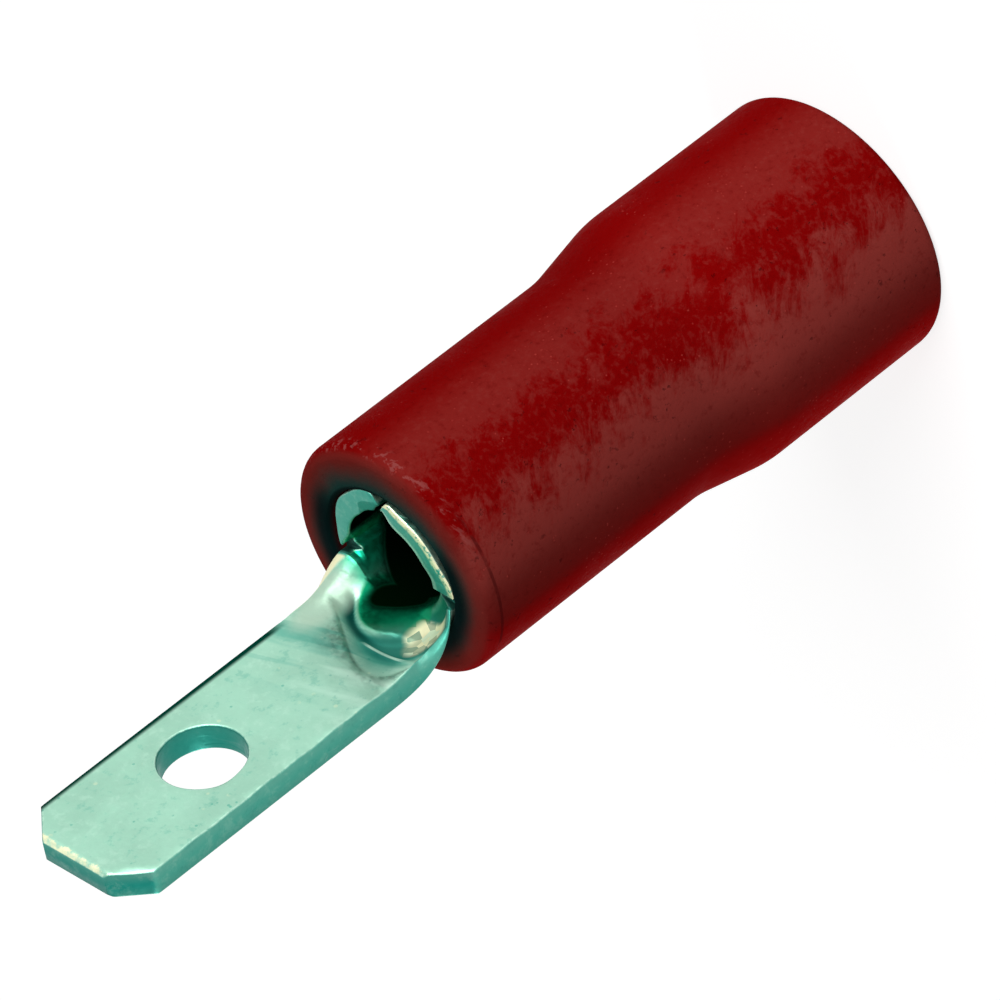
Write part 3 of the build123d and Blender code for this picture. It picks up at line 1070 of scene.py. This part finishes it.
def sleeve_tree(s, material):
    """Turns the wall's outline, with its corners rounded, once round the Z axis."""
    growth = Growth("turned_sleeve")
    corners = (
        ("Bore Radius", "Front Height", "Mouth Rim"),
        ("Front Radius", "Front Height", "Front Rim"),
        ("Front Radius", "Step Top", "Step Blend"),
        ("Bell Radius", "Bell Height", "Step Blend"),
        ("Bell Radius", None, "Rear Rim"),
        ("Entry Radius", None, "Entry Rim"),
        ("Entry Radius", "Cone Base", None),
        ("Bore Radius", "Cone Top", None),
    )
    names = dict.fromkeys(name for corner in corners for name in corner if name)
    sockets = {name: growth.size(name, named_size(s, name)) for name in names}
    places = []
    for radius, height, _ in corners:
        offset = growth.node("ShaderNodeMath", {0: sockets[radius], 1: PATH_RADIUS}, operation="SUBTRACT")
        place = {"X": offset.outputs[0]}
        if height:
            # The path's own Y axis points down
            down = growth.node("ShaderNodeMath", {0: sockets[height], 1: -1.0}, operation="MULTIPLY")
            place["Y"] = down.outputs[0]
        places.append(growth.node("ShaderNodeCombineXYZ", place).outputs[0])
    roundings = [sockets[rim] if rim else CONE_ROUNDING for _, _, rim in corners]

    def step(kind, name, before, inputs, **settings):
        """The next node in the row, which takes in what the one before it gives."""
        return growth.node("GeometryNode" + kind, {name: before.outputs[0], **inputs}, **settings)

    row = growth.node("GeometryNodeMeshLine", {"Count": len(corners)})
    row = step("SetPosition", "Geometry", row, {"Position": growth.pick("VECTOR", places)})
    row = step("MeshToCurve", "Mesh", row, {})
    row = step("SetSplineCyclic", "Geometry", row, {"Cyclic": True})
    inputs = {"Count": CORNER_POINTS, "Radius": growth.pick("FLOAT", roundings)}
    row = step("FilletCurve", "Curve", row, inputs, mode="POLY")
    row = step("SubdivideCurve", "Curve", row, {"Cuts": POINTS_BETWEEN})
    circle = {"Resolution": POINTS_ROUND, "Radius": PATH_RADIUS}
    path = growth.node("GeometryNodeCurvePrimitiveCircle", circle)
    row = step("CurveToMesh", "Profile Curve", row, {"Curve": path.outputs[0]})
    row = step("RealizeInstances", "Geometry", row, {})
    row = step("SetMaterial", "Geometry", row, {"Material": material})
    growth.join(row.outputs[0], growth.result.inputs["Geometry"])
    return growth


def grown(name, tree, values):
    """The plain mesh that a Geometry Nodes tree makes, as a new object."""
    host = new_object(name + "_host", bpy.data.meshes.new(name + "_host"))
    modifier = host.modifiers.new("growth", "NODES")
    modifier.node_group = tree.tree
    for key, value in values.items():
        modifier[tree.identifiers[key]] = value
    evaluated = host.evaluated_get(bpy.context.evaluated_depsgraph_get())
    mesh = bpy.data.meshes.new_from_object(evaluated)
    mesh.name = name
    bpy.data.objects.remove(host)
    return new_object(name, mesh)


class MakeTerminal(bpy.types.Operator):
    """Make the stamped and rolled metal terminal"""

    bl_idname = "spade_terminal.metal"
    bl_label = "Metal terminal"

    def execute(self, context):
        s = terminal_values(context.scene.terminal_sizes, context.scene.sleeve_sizes)
        blank = Blank(s)
        inner, outer, cut, scoop = Sheet(s, blank).faces()
        count = len(blank.points)
        faces = [tuple(i + count for i in reversed(quad)) for quad in blank.quads] + blank.quads
        faces += [(b, a, a + count, b + count) for a, b in blank.rim]
        metal = mesh_object("spade_terminal", np.concatenate((inner, outer)), faces)
        for name, values in (
            ("cut", np.concatenate((cut, cut))),
            ("inside", np.concatenate((np.ones(count), np.zeros(count)))),
            ("scoop", np.concatenate((scoop, np.zeros(count)))),
        ):
            layer = metal.data.attributes.new(name, "FLOAT", "POINT")
            layer.data.foreach_set("value", values.astype(np.float32))
        metal.data.materials.append(TinnedFinish(s).make())
        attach(metal, "root")
        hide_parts("terminal")
        return {"FINISHED"}


class MakeSleeve(bpy.types.Operator):
    """Make the moulded insulating sleeve"""

    bl_idname = "spade_terminal.sleeve"
    bl_label = "Insulating sleeve"

    def execute(self, context):
        s = context.scene.sleeve_sizes
        tree = sleeve_tree(s, MouldedFinish(s).make())
        values = {name: named_size(s, name) for name in tree.identifiers}
        sleeve = grown("moulded_sleeve", tree, values)
        sleeve.data.polygons.foreach_set("use_smooth", [True] * len(sleeve.data.polygons))
        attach(sleeve, "root")
        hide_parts("insulation_sleeve")
        return {"FINISHED"}


class MakeStage(bpy.types.Operator):
    """Make the floor, the soft light and the camera"""

    bl_idname = "spade_terminal.stage"
    bl_label = "Stage"

    def execute(self, context):
        s = context.scene.stage_settings
        scene = context.scene
        scene.view_settings.view_transform = "Standard"
        half = s.floor_side / 2
        corners = [(-half, -half, 0), (half, -half, 0), (half, half, 0), (-half, half, 0)]
        floor = mesh_object("floor", corners, [(0, 1, 2, 3)])
        floor.data.materials.append(self.floor_finish(s))
        self.light_world(scene, s)
        for name, place, size, watts in LAMPS:
            lamp = bpy.data.lights.new(name, "AREA")
            lamp.size = size * MM
            lamp.energy = watts
            holder = new_object(name, lamp)
            spot = Vector(place) * MM
            holder.location = spot
            holder.rotation_euler = (LAMP_TARGET - spot).to_track_quat("-Z", "Y").to_euler()
        self.place_camera(scene, s)
        return {"FINISHED"}

    @staticmethod
    def seen_share(wiring):
        """1 for rays from the camera, a mirror or glass, 0 for the rest."""
        rays = wiring.node("ShaderNodeLightPath").outputs
        share = rays["Is Camera Ray"]
        for name in ("Is Glossy Ray", "Is Transmission Ray"):
            share = wiring.node("ShaderNodeMath", {0: share, 1: rays[name]}, operation="MAXIMUM").outputs[0]
        return share

    def floor_finish(self, s):
        """A grey floor with a glow on top that only the camera and mirrors see, so it stays white."""
        material = bpy.data.materials.new("pale_floor")
        material.use_nodes = True
        wiring = Wiring(material.node_tree)
        diffuse = wiring.tree.nodes["Principled BSDF"]
        diffuse.inputs["Base Color"].default_value = (s.floor_grey, s.floor_grey, s.floor_grey, 1)
        diffuse.inputs["Roughness"].default_value = 0.9
        diffuse.inputs["Specular IOR Level"].default_value = 0.0
        share = self.seen_share(wiring)
        level = wiring.node("ShaderNodeMath", {0: share, 1: s.floor_glow}, operation="MULTIPLY")
        glow = wiring.node("ShaderNodeEmission", {"Strength": level.outputs[0]})
        both = wiring.node("ShaderNodeAddShader", {0: diffuse.outputs[0], 1: glow.outputs[0]})
        wiring.join(both.outputs[0], wiring.tree.nodes["Material Output"].inputs["Surface"])
        return material

    def light_world(self, scene, s):
        """White surroundings, which light the part softly."""
        scene.world = bpy.data.worlds.new("soft_world")
        scene.world.use_nodes = True
        wiring = Wiring(scene.world.node_tree)
        background = wiring.tree.nodes["Background"]
        background.inputs["Color"].default_value = (1, 1, 1, 1)
        inputs = {"Value": self.seen_share(wiring), "To Min": s.sky_light, "To Max": 1.0}
        level = wiring.node("ShaderNodeMapRange", inputs)
        wiring.join(level.outputs["Result"], background.inputs["Strength"])

    @staticmethod
    def place_camera(scene, s):
        """The photograph's camera: how far round and up it stands, and its turn about its own axis."""
        azimuth, height = s.camera_azimuth, s.camera_height
        flat = Vector((math.sin(azimuth), -math.cos(azimuth), 0.0)) * math.cos(height)
        back = flat + Vector((0.0, 0.0, math.sin(height)))
        lens = bpy.data.cameras.new("photo_camera")
        lens.sensor_width = SENSOR_WIDTH
        lens.lens = s.lens
        lens.clip_start = NEAREST_SEEN
        lens.clip_end = FURTHEST_SEEN
        camera = new_object("photo_camera", lens)
        turned = (-back).to_track_quat("-Z", "Y").to_matrix() @ Matrix.Rotation(s.camera_roll, 3, "Z")
        place = Vector(s.camera_target) + back * s.camera_distance
        camera.matrix_world = Matrix.Translation(place) @ turned.to_4x4()
        scene.camera = camera


class TerminalPanel(bpy.types.Panel):
    """Sizes and colours of the terminal, and the buttons that make it"""

    bl_idname = "VIEW3D_PT_spade_terminal"
    bl_label = "Spade terminal"
    bl_space_type = "VIEW_3D"
    bl_region_type = "UI"
    bl_category = "Spade terminal"

    def draw(self, context):
        for operator, group in (
            (MakeTerminal, context.scene.terminal_sizes),
            (MakeSleeve, context.scene.sleeve_sizes),
            (MakeStage, context.scene.stage_settings),
        ):
            box = self.layout.box()
            box.operator(operator.bl_idname)
            for name in group.__annotations__:
                box.prop(group, name)


def terminal_values(sizes, sleeve):
    """The metal's sizes and colours, with what is worked out from them and from the sleeve."""
    s = SimpleNamespace(**{name: getattr(sizes, name) for name in sizes.__annotations__})
    s.mouth = sleeve.front_height
    s.sleeve_bore = sleeve.bore_radius
    s.sleeve_rim = sleeve.mouth_rim
    s.barrel_radius = s.bore_diameter / 2 + s.barrel_wall
    s.mid_radius = s.bore_diameter / 2 + s.barrel_wall / 2
    return s


CLASSES = (TerminalSizes, SleeveSizes, StageSettings, MakeTerminal, MakeSleeve, MakeStage, TerminalPanel)
GROUPS = {"terminal_sizes": TerminalSizes, "sleeve_sizes": SleeveSizes, "stage_settings": StageSettings}


def register():
    for cls in CLASSES:
        bpy.utils.register_class(cls)
    for name, group in GROUPS.items():
        setattr(bpy.types.Scene, name, bpy.props.PointerProperty(type=group))


def unregister():
    for name in GROUPS:
        delattr(bpy.types.Scene, name)
    for cls in reversed(CLASSES):
        bpy.utils.unregister_class(cls)


def main():
    register()
    bpy.ops.spade_terminal.stage()
    bpy.ops.spade_terminal.sleeve()
    bpy.ops.spade_terminal.metal()


if __name__ == "__main__":
    main()
